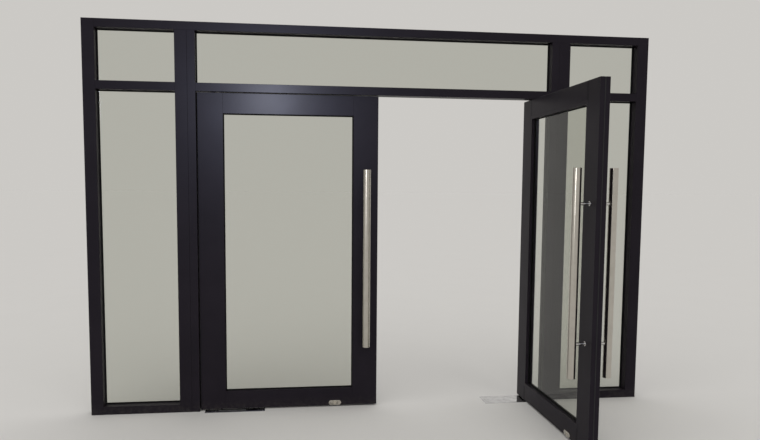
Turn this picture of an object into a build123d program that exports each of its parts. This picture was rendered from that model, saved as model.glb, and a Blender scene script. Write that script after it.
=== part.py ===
from build123d import *
from dataclasses import dataclass
from math import cos, radians, sin
import os

# Glass entrance door: two pivoting leaves in an aluminium screen with sidelights and top lights.
# X runs along the screen, +Y to the back, +Z up. The origin is at finished floor level, in the
# middle of the screen and of the frame's depth. Sizes are in millimetres.

# Screen
overall_width = 3810.0
overall_height = 2570.0
frame_depth = 90.0
clear_opening = 2408.0
top_light_height = 332.0
upright_face = 78.0
door_jamb_face = 52.0
rail_face = 54.0
wall = 2.0
frame_rebate = 16.0
frame_nose = 62.0
frame_bead = 12.0
edge_break = 1.0

# Glazing
glass_thickness = 8.0
gasket = 4.0
gasket_sight = 6.0
gasket_cover = 9.0
glass_edge_gap = 5.0
setting_block_length = 60.0
setting_block_from_corner = 70.0
setting_block_overlap = 2.0
bead_wall = 1.6
bead_fit = 0.3
lug_height = 3.0

# Leaves
leaf_thickness = 58.0
stile_face = 168.0
top_rail_face = 132.0
bottom_rail_face = 120.0
leaf_rebate = 22.0
leaf_nose = 21.0
heel_gap = 4.0
meeting_gap = 4.0
leaf_head_gap = 6.0
leaf_floor_gap = 10.0
pivot_inset = 108.0
heel_wall = 6.0
bottom_channel = 30.0
right_open_angle = 90.0

# Brush seals
brush_slot = 5.0
brush_pocket = 9.0
brush_lip = 1.5
brush_pocket_depth = 4.0
brush_fit = 0.2
brush_end_gap = 3.0
meeting_brush_reach = 1.6
head_brush_reach = 5.0

# Cleats and fixing holes
cleat_length = 45.0
cleat_wall = 3.0
cleat_fit = 0.2
wall_fixing_radius = 4.5
jamb_fixing_from_end = 200.0

# Floor spring and its cover
spring_length = 300.0
spring_width = 82.0
spring_height = 54.0
spring_lid = 6.0
spring_lid_rim = 12.0
spring_heel = 62.0
spring_below_floor = 4.0
spring_corner = 12.0
spring_ridge = 10.0
cover_length = 400.0
cover_width = 160.0
cover_thickness = 1.5
cover_heel = 78.0
cover_hole_radius = 22.0
cover_corner = 4.0
spindle_radius = 12.5
spindle_square = 17.0
spindle_socket = 38.0
spindle_shoulder = 6.0
journal_clearance = 0.05
seat_clearance = 0.3

# Bottom arm, top bush and top pivot
arm_width = 40.0
arm_tip_width = 26.0
arm_length = 190.0
arm_height = 24.0
arm_roof = 2.0
arm_fit = 0.1
arm_notch_side = 2.0
pin_radius = 7.5
pin_reach = 20.0
bush_length = 60.0
bush_height = 40.0
bush_hole_depth = 24.0
top_pivot_length = 110.0
top_pivot_width = 36.0
top_pivot_height = 28.0
pivot_cutout_length = 40.0
pivot_cutout_width = 26.0

# Pull handles
pull_length = 1200.0
pull_bottom = 432.0
pull_diameter = 50.0
pull_tube_wall = 1.5
pull_standoff = 80.0
pull_post_spacing = 800.0
pull_cap = 2.0
post_radius = 9.0
stud_side = 9.0
stud_hole_gap = 0.5

# Bottom lock
lock_from_meeting_edge = 290.0
lock_length = 80.0
lock_fit = 0.2
lock_axis_height = 28.0
plug_radius = 7.0
plug_window_gap = 0.5
plug_proud = 1.0
keyway_width = 2.2
keyway_height = 8.0
keyway_depth = 6.0
escutcheon_length = 86.0
escutcheon_height = 34.0
escutcheon_thickness = 4.0
bolt_side = 12.0
bolt_offset = 20.0
bolt_recess = 0.5
bolt_length = 27.0
bolt_head_room = 1.0

# Places worked out from the sizes above
half_width = overall_width / 2
half_opening = clear_opening / 2
front = -frame_depth / 2
back = frame_depth / 2
mullion_inner = half_opening + door_jamb_face
mullion_outer = mullion_inner + upright_face
jamb_sight = half_width - upright_face
head_underside = overall_height - rail_face
header_top = head_underside - top_light_height
header_underside = header_top - rail_face
head_seat = head_underside + frame_rebate
nose_back = front + frame_nose
frame_bead_front = nose_back + gasket + glass_thickness + gasket
leaf_bottom = leaf_floor_gap
leaf_top = header_underside - leaf_head_gap
leaf_width = half_opening - heel_gap - meeting_gap / 2
pivot_place = half_opening - heel_gap - pivot_inset
free_edge = leaf_width - pivot_inset
leaf_front = -leaf_thickness / 2
leaf_back = leaf_thickness / 2
leaf_nose_back = leaf_front + leaf_nose
leaf_bead_front = leaf_nose_back + gasket + glass_thickness + gasket
leaf_bead = leaf_back - leaf_bead_front
near_seat = stile_face - leaf_rebate - pivot_inset
far_seat = free_edge - stile_face + leaf_rebate
rail_length = far_seat - near_seat
channel_top = leaf_bottom + bottom_channel
arm_bottom = channel_top - arm_height
lock_place = free_edge - lock_from_meeting_edge
bolt_place = lock_place + bolt_offset
pull_place = free_edge - stile_face / 2
pull_depth = leaf_back + pull_standoff
post_height = pull_bottom + (pull_length - pull_post_spacing) / 2
post_heights = (post_height, post_height + pull_post_spacing)
spring_top = -spring_below_floor
brush_depth = brush_lip + brush_pocket_depth + wall

X_AXIS = Vector(1, 0, 0)
Y_AXIS = Vector(0, 1, 0)
Z_AXIS = Vector(0, 0, 1)
beyond = overall_width
both_sides = (("left", -1), ("right", 1))

os.makedirs("parts", exist_ok=True)


def keep(piece, label):
    piece.part.label = label
    export_step(piece.part, f"parts/{label}.step")


@dataclass
class Panel:
    """An upright plane of the door: where it starts, which way it runs and where its back is."""

    origin: Vector
    along: Vector
    backward: Vector

    def at(self, place, depth, height):
        return self.origin + self.along * place + self.backward * depth + Z_AXIS * height


@dataclass
class Opening:
    """The sight edges of one pane in its panel, with the section of its glazing rebate."""

    panel: Panel
    near: float
    far: float
    low: float
    high: float
    rebate: float
    nose_back: float
    bead_front: float
    bead_depth: float


def section_plane(start, across, backward):
    """Sketch plane whose x runs across a profile's face and whose y runs to the back."""
    return Plane(origin=start, x_dir=across, z_dir=across.cross(backward))


def face_plane(panel, depth):
    """Sketch plane parallel to the panel, with x along it and y up."""
    return Plane(origin=panel.at(0, depth, 0), x_dir=panel.along, z_dir=panel.along.cross(Z_AXIS))


def block(u0, u1, v0, v1, mode=Mode.ADD):
    """Rectangle between two corners of the open sketch."""
    with Locations(((u0 + u1) / 2, (v0 + v1) / 2)):
        Rectangle(abs(u1 - u0), abs(v1 - v0), mode=mode)


def chamber(u0, u1, v0, v1, edge_wall=wall):
    """Hollow inside a rectangle of the profile. The wall at u0 may be thicker than the others."""
    block(u0 + edge_wall, u1 - wall, v0 + wall, v1 - wall, mode=Mode.SUBTRACT)


def break_edges(section):
    """Small bevels on the corners of a profile's front and back faces."""
    rows = section.vertices().group_by(Axis.Y)
    chamfer(rows[0] + rows[-1], length=edge_break)


def bead_lug(foot, side, bead_front, bead_depth):
    """The ridge that a bead clips over, on the wall at u = foot."""
    inset = bead_wall + bead_fit
    block(foot, foot + side * lug_height, bead_front + inset, bead_front + bead_depth - inset)


def brush_groove(edge):
    """Undercut groove for a brush seal, in the middle of the profile's outer side at u = edge."""
    pocket = brush_pocket / 2
    block(edge, edge + brush_depth, -pocket - wall, pocket + wall)
    block(edge + brush_lip, edge + brush_lip + brush_pocket_depth, -pocket, pocket, mode=Mode.SUBTRACT)
    block(edge, edge + brush_lip, -brush_slot / 2, brush_slot / 2, mode=Mode.SUBTRACT)


def brush_section(edge, reach):
    """Brush strip that sits in the groove and reaches out of it."""
    base = brush_pocket / 2 - brush_fit
    pile = brush_slot / 2 - brush_fit
    block(edge + brush_lip + brush_fit, edge + brush_depth - wall - brush_fit, -base, base)
    block(edge - reach, edge + brush_lip + brush_fit, -pile, pile)


def cope(panel, start, finish, rebate, nose_zone):
    """Cuts ends back where the noses of the uprights stand, over the panel's whole height."""
    for place, inward in ((start, 1), (finish, -1)):
        end = panel.at(place, 0, 0)
        with BuildSketch(section_plane(end, Z_AXIS, panel.backward)) as notch:
            block(-beyond, beyond, *nose_zone)
        extrude(notch.sketch, amount=rebate, dir=panel.along * inward, mode=Mode.SUBTRACT)


def clear_lugs(panel, place, side, bead_zone, spans):
    """Removes an upright's lug between the heights where rails and their beads join it."""
    for low, high in spans:
        start = panel.at(place, 0, low)
        with BuildSketch(section_plane(start, panel.along * side, panel.backward)) as notch:
            block(0, lug_height, *bead_zone)
        extrude(notch.sketch, amount=high - low, dir=Z_AXIS, mode=Mode.SUBTRACT)


def drill(start, direction, radius, depth, mode=Mode.SUBTRACT):
    """Round hole or, with Mode.ADD, round rod from a point along a direction."""
    with BuildSketch(Plane(origin=start, z_dir=direction)) as round_section:
        Circle(radius)
    extrude(round_section.sketch, amount=depth, mode=mode)


def cleat(start, along, panel, u0, u1, v0, v1, across):
    """Short hollow cleat in a rail's chamber, from the nose of the upright that the rail joins."""
    with BuildSketch(section_plane(start, across, panel.backward)) as sleeve:
        block(u0 + cleat_fit, u1 - cleat_fit, v0 + cleat_fit, v1 - cleat_fit)
        inner = cleat_fit + cleat_wall
        block(u0 + inner, u1 - inner, v0 + inner, v1 - inner, mode=Mode.SUBTRACT)
    extrude(sleeve.sketch, amount=cleat_length, dir=along)


screen = Panel(Vector(0, 0, 0), X_AXIS, Y_AXIS)
frame_nose_zone = (front - wall, nose_back)
frame_bead_zone = (frame_bead_front, frame_bead_front + frame_bead)


# Frame profiles
def rebated_profile(section, face):
    """Hollow frame profile with one glazing rebate. Its outer side is at u = 0."""
    body = face - frame_rebate
    block(0, body, front, back)
    block(body, face, front, nose_back)
    break_edges(section)
    chamber(0, body, front, back)
    chamber(body - wall, face, front, nose_back)
    bead_lug(body, 1, frame_bead_front, frame_bead)


def transom_profile(section):
    """Hollow frame profile with a glazing rebate on both sides."""
    low = frame_rebate
    high = rail_face - frame_rebate
    block(low, high, front, back)
    block(0, rail_face, front, nose_back)
    break_edges(section)
    chamber(low, high, front, back)
    chamber(0, low + wall, front, nose_back)
    chamber(high - wall, rail_face, front, nose_back)
    bead_lug(low, -1, frame_bead_front, frame_bead)
    bead_lug(high, 1, frame_bead_front, frame_bead)


def upright(label, place, direction, face, top, joined, fixings):
    """Frame profile that stands on the floor, with its outer side at x = place."""
    across = X_AXIS * direction
    with BuildPart() as profile:
        with BuildSketch(section_plane(Vector(place, 0, 0), across, Y_AXIS)) as section:
            rebated_profile(section, face)
        extrude(amount=top, dir=Z_AXIS)
        seat = place + direction * (face - frame_rebate)
        clear_lugs(screen, seat, direction, frame_bead_zone, joined)
        if top < overall_height:
            for (v0, v1), cut in ((frame_nose_zone, head_underside), (frame_bead_zone, top - lug_height)):
                with BuildSketch(section_plane(Vector(place, 0, cut), across, Y_AXIS)) as notch:
                    block(-face, 2 * face, v0, v1)
                extrude(notch.sketch, amount=overall_height, dir=Z_AXIS, mode=Mode.SUBTRACT)
        for height in fixings:
            drill(Vector(place, 0, height), across, wall_fixing_radius, 2 * wall)
    keep(profile, label)


def rail(label, near, far, height, up, double=False, fixings=(), pivots=()):
    """Frame profile between two uprights, with its outer side at the given height."""
    across = Z_AXIS * up
    with BuildPart() as profile:
        with BuildSketch(section_plane(Vector(near, 0, height), across, Y_AXIS)) as section:
            if double:
                transom_profile(section)
            else:
                rebated_profile(section, rail_face)
        extrude(amount=far - near, dir=X_AXIS)
        cope(screen, near, far, frame_rebate, frame_nose_zone)
        for place in fixings:
            drill(Vector(place, 0, height), across, wall_fixing_radius, 2 * wall)
        for place in pivots:
            with BuildSketch(Plane(origin=(place, 0, height))) as cutout:
                Rectangle(pivot_cutout_length, pivot_cutout_width)
            extrude(cutout.sketch, amount=2 * wall, mode=Mode.SUBTRACT)
    keep(profile, label)


# Uprights: jambs against the wall, mullions, and the door jambs beside the leaves
sill_span = (0.0, rail_face)
transom_span = (header_underside, header_top)
head_span = (head_underside, overall_height)
rail_spans = (sill_span, transom_span, head_span)
header_spans = ((0.0, header_top), head_span)
jamb_fixings = (jamb_fixing_from_end, overall_height / 2, overall_height - jamb_fixing_from_end)
for side_name, side in both_sides:
    jamb = (side * half_width, -side, upright_face, overall_height, rail_spans, jamb_fixings)
    mullion = (side * mullion_inner, side, upright_face, head_seat, rail_spans, ())
    door_jamb = (side * mullion_inner, -side, door_jamb_face, head_seat, header_spans, ())
    upright(f"{side_name}_jamb", *jamb)
    upright(f"{side_name}_mullion", *mullion)
    upright(f"{side_name}_door_jamb", *door_jamb)

# Rails: head, header over the leaves, transoms over the sidelights and sills under them
jamb_seat = jamb_sight + frame_rebate
mullion_seat = mullion_outer - frame_rebate
door_seat = half_opening + frame_rebate
sidelight_middle = (jamb_sight + mullion_outer) / 2
head_fixings = (-sidelight_middle, sidelight_middle)
rail("head", -jamb_seat, jamb_seat, overall_height, -1, fixings=head_fixings)
rail("header", -door_seat, door_seat, header_underside, 1, pivots=(-pivot_place, pivot_place))
for side_name, side in both_sides:
    near, far = sorted((side * mullion_seat, side * jamb_seat))
    rail(f"{side_name}_transom", near, far, header_underside, 1, double=True)
    rail(f"{side_name}_sill", near, far, 0, 1, fixings=(side * sidelight_middle,))

# Cleats inside the ends of the rails
rail_body = rail_face - frame_rebate
single_box = (wall, rail_body - wall, front + wall, back - wall)
double_box = (frame_rebate + wall, rail_body - wall, front + wall, back - wall)
with BuildPart() as frame_cleats:
    for side in (-1, 1):
        for place, height, up, box in (
            (side * jamb_seat, overall_height, -1, single_box),
            (side * door_seat, header_underside, 1, single_box),
            (side * jamb_seat, header_underside, 1, double_box),
            (side * mullion_seat, header_underside, 1, double_box),
            (side * jamb_seat, 0, 1, single_box),
            (side * mullion_seat, 0, 1, single_box),
        ):
            outward = 1 if abs(place) == mullion_seat else -1
            inward = X_AXIS * (side * outward)
            cleat(Vector(place, 0, height) + inward * frame_rebate, inward, screen, *box, Z_AXIS * up)
keep(frame_cleats, "frame_cleats")

# Flat inserts that close the rebate of the door jambs beside the leaves
with BuildPart() as jamb_inserts:
    for side in (-1, 1):
        with BuildSketch(section_plane(Vector(side * door_seat, 0, 0), X_AXIS * -side, Y_AXIS)) as insert:
            block(0, frame_rebate, nose_back, back)
            block(0, frame_rebate - bead_wall, nose_back + bead_wall, back - bead_wall, mode=Mode.SUBTRACT)
        extrude(insert.sketch, amount=header_underside, dir=Z_AXIS)
keep(jamb_inserts, "jamb_inserts")


# Glazing of one opening: pane, gaskets, setting blocks and beads
def pane(opening, label):
    edge = opening.rebate - glass_edge_gap
    with BuildPart() as glass:
        with BuildSketch(face_plane(opening.panel, opening.nose_back + gasket)) as outline:
            block(opening.near - edge, opening.far + edge, opening.low - edge, opening.high + edge)
        extrude(outline.sketch, amount=glass_thickness, dir=opening.panel.backward)
    keep(glass, label)


def add_rubbers(opening):
    """Gasket rings in front of and behind the glass, and the two blocks that it stands on."""
    sight = gasket_sight
    cover = gasket_cover
    for depth in (opening.nose_back, opening.bead_front - gasket):
        with BuildSketch(face_plane(opening.panel, depth)) as ring:
            block(opening.near - cover, opening.far + cover, opening.low - cover, opening.high + cover)
            block(
                opening.near + sight,
                opening.far - sight,
                opening.low + sight,
                opening.high - sight,
                mode=Mode.SUBTRACT,
            )
        extrude(ring.sketch, amount=gasket, dir=opening.panel.backward)
    foot = opening.low - opening.rebate
    reach = setting_block_from_corner + setting_block_length
    depth = opening.nose_back + gasket - setting_block_overlap
    with BuildSketch(face_plane(opening.panel, depth)) as blocks:
        for start in (opening.near + setting_block_from_corner, opening.far - reach):
            block(start, start + setting_block_length, foot, foot + glass_edge_gap)
    extrude(blocks.sketch, amount=glass_thickness + 2 * setting_block_overlap, dir=opening.panel.backward)


def add_beads(opening):
    """Four clipped beads behind the glass. The upper and lower ones run past the ends of the others."""
    panel = opening.panel
    rebate = opening.rebate
    row_start = opening.near - rebate + bead_fit
    row_length = opening.far - opening.near + 2 * rebate - 2 * bead_fit
    column_start = opening.low + bead_fit
    column_length = opening.high - opening.low - 2 * bead_fit
    v0 = opening.bead_front
    v1 = v0 + opening.bead_depth
    for place, height, across, along, length in (
        (row_start, opening.low - rebate, Z_AXIS, panel.along, row_length),
        (row_start, opening.high + rebate, -Z_AXIS, panel.along, row_length),
        (opening.near - rebate, column_start, panel.along, Z_AXIS, column_length),
        (opening.far + rebate, column_start, -panel.along, Z_AXIS, column_length),
    ):
        with BuildSketch(section_plane(panel.at(place, 0, height), across, panel.backward)) as bead:
            block(0, rebate, v0, v1)
            block(0, rebate - bead_wall, v0 + bead_wall, v1 - bead_wall, mode=Mode.SUBTRACT)
        extrude(bead.sketch, amount=length, dir=along)


def fixed_opening(near, far, low, high):
    return Opening(screen, near, far, low, high, frame_rebate, nose_back, frame_bead_front, frame_bead)


fixed_openings = {
    "left_side_glass": fixed_opening(-jamb_sight, -mullion_outer, rail_face, header_underside),
    "right_side_glass": fixed_opening(mullion_outer, jamb_sight, rail_face, header_underside),
    "left_top_glass": fixed_opening(-jamb_sight, -mullion_outer, header_top, head_underside),
    "right_top_glass": fixed_opening(mullion_outer, jamb_sight, header_top, head_underside),
    "centre_top_glass": fixed_opening(-half_opening, half_opening, header_top, head_underside),
}
for label, opening in fixed_openings.items():
    pane(opening, label)

with BuildPart() as frame_rubbers:
    for opening in fixed_openings.values():
        add_rubbers(opening)
keep(frame_rubbers, "frame_rubbers")

with BuildPart() as frame_beads:
    for opening in fixed_openings.values():
        add_beads(opening)
keep(frame_beads, "frame_beads")

# Floor springs, one under each pivot, longer towards the middle of the door
spring_reach = spring_length - spring_heel
spring_middle = (spring_reach - spring_heel) / 2
for side_name, side in both_sides:
    middle = side * (pivot_place - spring_middle)
    with BuildPart() as floor_spring:
        with BuildSketch(Plane(origin=(middle, 0, spring_top - spring_height))) as housing:
            Rectangle(spring_length, spring_width)
            chamfer(housing.vertices(), length=spring_corner)
        extrude(amount=spring_height)
        with BuildSketch(Plane(origin=(middle, 0, spring_top - spring_lid))) as lid:
            Rectangle(spring_length + 2 * spring_lid_rim, spring_width + 2 * spring_lid_rim)
            chamfer(lid.vertices(), length=spring_corner)
        extrude(amount=spring_lid)
        with BuildSketch(Plane(origin=(middle, 0, spring_top))):
            with Locations((-spring_length / 2, 0), (spring_length / 2, 0)):
                Rectangle(spring_ridge, spring_width)
        extrude(amount=spring_below_floor)
        spindle_mouth = Vector(side * pivot_place, 0, spring_top)
        drill(spindle_mouth, -Z_AXIS, spindle_radius + journal_clearance, spindle_socket)
    keep(floor_spring, f"{side_name}_floor_spring")

with BuildPart() as floor_covers:
    for side in (-1, 1):
        middle = side * (pivot_place - cover_length / 2 + cover_heel)
        with BuildSketch(Plane(origin=(middle, 0, 0))) as plate:
            Rectangle(cover_length, cover_width)
            chamfer(plate.vertices(), length=cover_corner)
        extrude(plate.sketch, amount=cover_thickness)
        drill(Vector(side * pivot_place, 0, 0), Z_AXIS, cover_hole_radius, cover_thickness)
keep(floor_covers, "floor_cover_plates")

# Top pivots in the header: body on the header's lower wall, with the pin that stands in the leaf
with BuildPart() as top_pivots:
    for side in (-1, 1):
        axis_foot = Vector(side * pivot_place, 0, header_underside + wall)
        with BuildSketch(Plane(origin=axis_foot)) as pivot_body:
            Rectangle(top_pivot_length, top_pivot_width)
        extrude(pivot_body.sketch, amount=top_pivot_height)
        drill(axis_foot, -Z_AXIS, pin_radius, axis_foot.Z - leaf_top + pin_reach, mode=Mode.ADD)
keep(top_pivots, "top_pivots")


# Leaf profiles
leaf_nose_zone = (leaf_front - wall, leaf_nose_back)
leaf_bead_zone = (leaf_bead_front, leaf_back)
leaf_glass_low = leaf_bottom + bottom_rail_face
leaf_glass_high = leaf_top - top_rail_face
leaf_rail_spans = ((leaf_bottom, leaf_glass_low), (leaf_glass_high, leaf_top))


def leaf_profile(section, face, channel=0.0):
    """Hollow leaf profile with one glazing rebate. Its outer side, at u = 0, may be an open channel."""
    body = face - leaf_rebate
    block(0, body, leaf_front, leaf_back)
    block(body, face, leaf_front, leaf_nose_back)
    break_edges(section)
    chamber(channel, body, leaf_front, leaf_back)
    if channel:
        block(0, channel, leaf_front + wall, leaf_back - wall, mode=Mode.SUBTRACT)
    chamber(body - wall, face, leaf_front, leaf_nose_back)
    bead_lug(body, 1, leaf_bead_front, leaf_bead)


def plug_window(leaf):
    """Square window for the lock's plug, right through the leaf. The escutcheons cover its ends."""
    side = 2 * (plug_radius + plug_window_gap)
    with BuildSketch(face_plane(leaf, leaf_front)) as window:
        with Locations((lock_place, lock_axis_height)):
            Rectangle(side, side)
    extrude(window.sketch, amount=leaf_thickness, dir=leaf.backward, mode=Mode.SUBTRACT)


def leaf_rail(leaf, label, height, up, face, channel, groove):
    """Rail between the stiles, with its outer side at the given height."""
    across = Z_AXIS * up
    with BuildPart() as profile:
        with BuildSketch(section_plane(leaf.at(near_seat, 0, height), across, leaf.backward)) as section:
            leaf_profile(section, face, channel)
            if groove:
                brush_groove(0)
        extrude(amount=rail_length, dir=leaf.along)
        cope(leaf, near_seat, far_seat, leaf_rebate, leaf_nose_zone)
        if channel:
            plug_window(leaf)
    keep(profile, label)


for leaf_name, side in both_sides:
    angle = radians(right_open_angle) if side > 0 else 0.0
    hinge = Vector(side * pivot_place, 0, 0)
    leaf = Panel(
        hinge,
        Vector(-side * cos(angle), -sin(angle), 0),
        Vector(-side * sin(angle), cos(angle), 0),
    )
    leaf_height = leaf_top - leaf_bottom
    foot_point = leaf.at(0, 0, leaf_bottom)

    # Pivot stile: round heel about the pivot, and a notch at the foot for the arm
    with BuildPart() as pivot_stile:
        with BuildSketch(section_plane(foot_point, leaf.along, leaf.backward)) as section:
            block(-pivot_inset, near_seat, leaf_front, leaf_back)
            Circle(pivot_inset, mode=Mode.INTERSECT)
            block(near_seat, near_seat + leaf_rebate, leaf_front, leaf_nose_back)
            break_edges(section)
            chamber(-pivot_inset, near_seat, leaf_front, leaf_back, heel_wall)
            chamber(near_seat - wall, near_seat + leaf_rebate, leaf_front, leaf_nose_back)
            bead_lug(near_seat, 1, leaf_bead_front, leaf_bead)
        extrude(amount=leaf_height, dir=Z_AXIS)
        clear_lugs(leaf, near_seat, 1, leaf_bead_zone, leaf_rail_spans)
        notch_half = arm_width / 2 + arm_notch_side
        with BuildSketch(section_plane(foot_point, leaf.along, leaf.backward)) as notch:
            block(near_seat - 2 * wall, near_seat + leaf_rebate, -notch_half, notch_half)
        extrude(notch.sketch, amount=bottom_channel, dir=Z_AXIS, mode=Mode.SUBTRACT)
    keep(pivot_stile, f"{leaf_name}_pivot_stile")

    # Meeting stile: brush groove in its edge and square holes for the pull handles' square studs
    with BuildPart() as meeting_stile:
        edge_foot = leaf.at(free_edge, 0, leaf_bottom)
        with BuildSketch(section_plane(edge_foot, -leaf.along, leaf.backward)) as section:
            leaf_profile(section, stile_face)
            brush_groove(0)
        extrude(amount=leaf_height, dir=Z_AXIS)
        clear_lugs(leaf, far_seat, -1, leaf_bead_zone, leaf_rail_spans)
        stud_hole_side = stud_side + 2 * stud_hole_gap
        with BuildSketch(face_plane(leaf, leaf_front)) as stud_holes:
            for height in post_heights:
                with Locations((pull_place, height)):
                    Rectangle(stud_hole_side, stud_hole_side)
        extrude(stud_holes.sketch, amount=leaf_thickness, dir=leaf.backward, mode=Mode.SUBTRACT)
    keep(meeting_stile, f"{leaf_name}_meeting_stile")

    # Rails
    leaf_rail(leaf, f"{leaf_name}_top_rail", leaf_top, -1, top_rail_face, 0.0, True)
    leaf_rail(leaf, f"{leaf_name}_bottom_rail", leaf_bottom, 1, bottom_rail_face, bottom_channel, False)

    # Cleats inside the ends of both rails
    top_box = (brush_depth, top_rail_face - leaf_rebate - wall)
    bottom_box = (bottom_channel + wall, bottom_rail_face - leaf_rebate - wall)
    depth_box = (leaf_front + wall, leaf_back - wall)
    with BuildPart() as corner_cleats:
        for place, inward in ((near_seat, leaf.along), (far_seat, -leaf.along)):
            nose_face = inward * leaf_rebate
            cleat(leaf.at(place, 0, leaf_top) + nose_face, inward, leaf, *top_box, *depth_box, -Z_AXIS)
            cleat(leaf.at(place, 0, leaf_bottom) + nose_face, inward, leaf, *bottom_box, *depth_box, Z_AXIS)
    keep(corner_cleats, f"{leaf_name}_corner_cleats")

    # Glazing
    leaf_opening = Opening(
        leaf,
        near_seat + leaf_rebate,
        far_seat - leaf_rebate,
        leaf_glass_low,
        leaf_glass_high,
        leaf_rebate,
        leaf_nose_back,
        leaf_bead_front,
        leaf_bead,
    )
    pane(leaf_opening, f"{leaf_name}_leaf_glass")
    with BuildPart() as leaf_rubbers:
        add_rubbers(leaf_opening)
    keep(leaf_rubbers, f"{leaf_name}_leaf_rubbers")
    with BuildPart() as leaf_beads:
        add_beads(leaf_opening)
    keep(leaf_beads, f"{leaf_name}_leaf_beads")

    # Brush seals in the meeting edge and over the top rail
    with BuildPart() as brushes:
        brush_foot = leaf.at(free_edge, 0, leaf_bottom + brush_end_gap)
        with BuildSketch(section_plane(brush_foot, -leaf.along, leaf.backward)) as strip:
            brush_section(0, meeting_brush_reach)
        extrude(strip.sketch, amount=leaf_height - 2 * brush_end_gap, dir=Z_AXIS)
        with BuildSketch(section_plane(leaf.at(near_seat, 0, leaf_top), -Z_AXIS, leaf.backward)) as strip:
            brush_section(0, head_brush_reach)
        extrude(strip.sketch, amount=rail_length, dir=leaf.along)
    keep(brushes, f"{leaf_name}_brushes")

    # Pivot arms: tapered arm in the bottom channel, bush block in the top of the stile, and the
    # spindle, with its round journal in the floor spring and its square head in the arm
    with BuildPart() as pivot_arms:
        with BuildSketch(section_plane(leaf.at(0, 0, arm_bottom), leaf.along, leaf.backward)) as arm:
            Circle(arm_width / 2)
            with Locations((arm_length - arm_tip_width / 2, 0)):
                Rectangle(arm_tip_width, arm_tip_width)
            make_hull()
        extrude(arm.sketch, amount=arm_height, dir=Z_AXIS)
        with BuildSketch(section_plane(leaf.at(0, 0, arm_bottom), leaf.along, leaf.backward)) as socket:
            Rectangle(spindle_square + 2 * arm_fit, spindle_square + 2 * arm_fit)
        extrude(socket.sketch, amount=arm_height - arm_roof, dir=Z_AXIS, mode=Mode.SUBTRACT)
        bush_foot = leaf.at(0, 0, leaf_top - bush_height)
        with BuildSketch(section_plane(bush_foot, leaf.along, leaf.backward)) as bush:
            Rectangle(bush_length, leaf_thickness - 2 * wall - 2 * cleat_fit)
        extrude(bush.sketch, amount=bush_height, dir=Z_AXIS)
        drill(leaf.at(0, 0, leaf_top), -Z_AXIS, pin_radius + journal_clearance, bush_hole_depth)
        journal_foot = leaf.at(0, 0, spring_top - spindle_socket + seat_clearance)
        journal_length = spindle_shoulder - journal_foot.Z
        drill(journal_foot, Z_AXIS, spindle_radius, journal_length, mode=Mode.ADD)
        square_foot = leaf.at(0, 0, spindle_shoulder)
        with BuildSketch(section_plane(square_foot, leaf.along, leaf.backward)) as square:
            Rectangle(spindle_square, spindle_square)
        square_height = channel_top - arm_roof - seat_clearance - spindle_shoulder
        extrude(square.sketch, amount=square_height, dir=Z_AXIS)
    keep(pivot_arms, f"{leaf_name}_pivot_arms")

    # Pull bars: a tube on each face of the leaf, closed at both ends
    bore = pull_diameter / 2 - pull_tube_wall
    with BuildPart() as pull_bars:
        for depth in (-pull_depth, pull_depth):
            bar_foot = leaf.at(pull_place, depth, pull_bottom)
            drill(bar_foot, Z_AXIS, pull_diameter / 2, pull_length, mode=Mode.ADD)
            drill(bar_foot + Z_AXIS * pull_cap, Z_AXIS, bore, pull_length - 2 * pull_cap)
    keep(pull_bars, f"{leaf_name}_pull_bars")

    # Posts, shaped to the tube, in pairs on the square studs that clamp them through the stile
    with BuildPart() as pull_posts:
        for height in post_heights:
            for outward in (-1, 1):
                post_foot = leaf.at(pull_place, outward * leaf_back, height)
                drill(post_foot, leaf.backward * outward, post_radius, pull_standoff, mode=Mode.ADD)
                bar_point = leaf.at(pull_place, outward * pull_depth, height - pull_diameter / 2)
                drill(bar_point, Z_AXIS, pull_diameter / 2, pull_diameter)
        with BuildSketch(face_plane(leaf, leaf_front)) as studs:
            for height in post_heights:
                with Locations((pull_place, height)):
                    Rectangle(stud_side, stud_side)
        extrude(studs.sketch, amount=leaf_thickness, dir=leaf.backward)
    keep(pull_posts, f"{leaf_name}_pull_posts")

    # Bottom lock: case in the channel, escutcheons, plug that turns and bolt that drops
    case_height = bottom_channel - lock_fit
    with BuildPart() as lock_case:
        with BuildSketch(section_plane(leaf.at(lock_place, 0, leaf_bottom), leaf.along, leaf.backward)):
            Rectangle(lock_length, leaf_thickness - 2 * wall - 2 * lock_fit)
        extrude(amount=case_height, dir=Z_AXIS)
        plug_window(leaf)
        bolt_way = bolt_side + 2 * journal_clearance
        bolt_mouth = leaf.at(bolt_place, 0, leaf_bottom)
        with BuildSketch(section_plane(bolt_mouth, leaf.along, leaf.backward)) as square_hole:
            Rectangle(bolt_way, bolt_way)
        bolt_hole = bolt_recess + bolt_length + bolt_head_room
        extrude(square_hole.sketch, amount=bolt_hole, dir=Z_AXIS, mode=Mode.SUBTRACT)
    keep(lock_case, f"{leaf_name}_lock_case")

    with BuildPart() as escutcheons:
        for outward in (-1, 1):
            rim_plane = face_plane(leaf, outward * leaf_back)
            with BuildSketch(rim_plane) as oval:
                with Locations((lock_place, lock_axis_height)):
                    SlotOverall(escutcheon_length, escutcheon_height)
                    Circle(plug_radius + journal_clearance, mode=Mode.SUBTRACT)
            extrude(oval.sketch, amount=escutcheon_thickness, dir=leaf.backward * outward)
    keep(escutcheons, f"{leaf_name}_escutcheons")

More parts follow.
